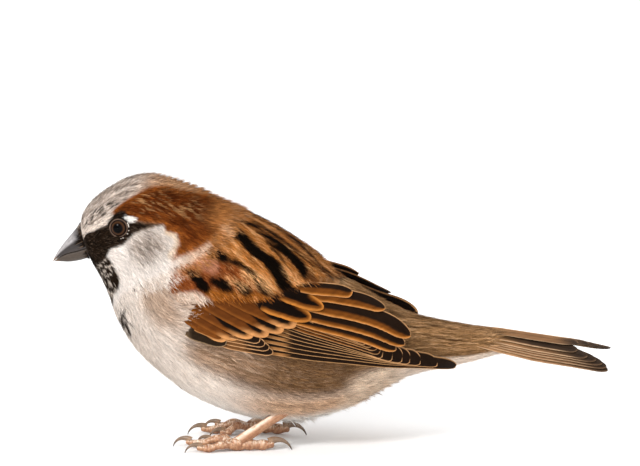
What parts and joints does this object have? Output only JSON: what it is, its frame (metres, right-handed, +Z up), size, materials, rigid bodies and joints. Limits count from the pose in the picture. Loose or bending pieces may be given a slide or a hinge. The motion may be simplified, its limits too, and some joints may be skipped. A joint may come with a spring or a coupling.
{
  "type": "small songbird",
  "caption": "Male house sparrow standing side-on with folded wings, stout cone-shaped bill, round breast and slightly notched tail.",
  "frame": {"origin": "centre of the bird's bounding box in plan, on the floor that its feet stand on", "axes": "+Z up, -X the way the bill points, so the bird's left side is towards -Y"},
  "size_m": [0.1536, 0.0452, 0.0755],
  "materials": {
    "head_feathers": "soft grey, chestnut and white plumage",
    "body_feathers": "soft off-white and grey-brown plumage",
    "wing_feathers": "chestnut and black vanes, satin",
    "flight_feathers": "dark brown vanes with buff edges, satin",
    "bill_horn": "smooth dark horn, low gloss",
    "eye": "wet, high gloss",
    "leg_scales": "dry scaled skin",
    "claw_horn": "smooth brown horn"
  },
  "bodies": {
    "root": {"head": "head_feathers", "neck": "head_feathers", "torso": "body_feathers", "tail": "flight_feathers", "bill_upper": "bill_horn", "bill_lower": "bill_horn", "eye_left": "eye", "wing_left": "wing_feathers", "tarsus_left": "leg_scales", "toe_left_hind": "leg_scales", "claw_left_hind": "claw_horn", "toe_left_middle": "leg_scales", "claw_left_middle": "claw_horn", "toe_left_inner": "leg_scales", "claw_left_inner": "claw_horn", "toe_left_outer": "leg_scales", "claw_left_outer": "claw_horn", "eye_right": "eye", "wing_right": "wing_feathers", "tarsus_right": "leg_scales", "toe_right_hind": "leg_scales", "claw_right_hind": "claw_horn", "toe_right_middle": "leg_scales", "claw_right_middle": "claw_horn", "toe_right_inner": "leg_scales", "claw_right_inner": "claw_horn", "toe_right_outer": "leg_scales", "claw_right_outer": "claw_horn"}
  },
  "joints": []
}
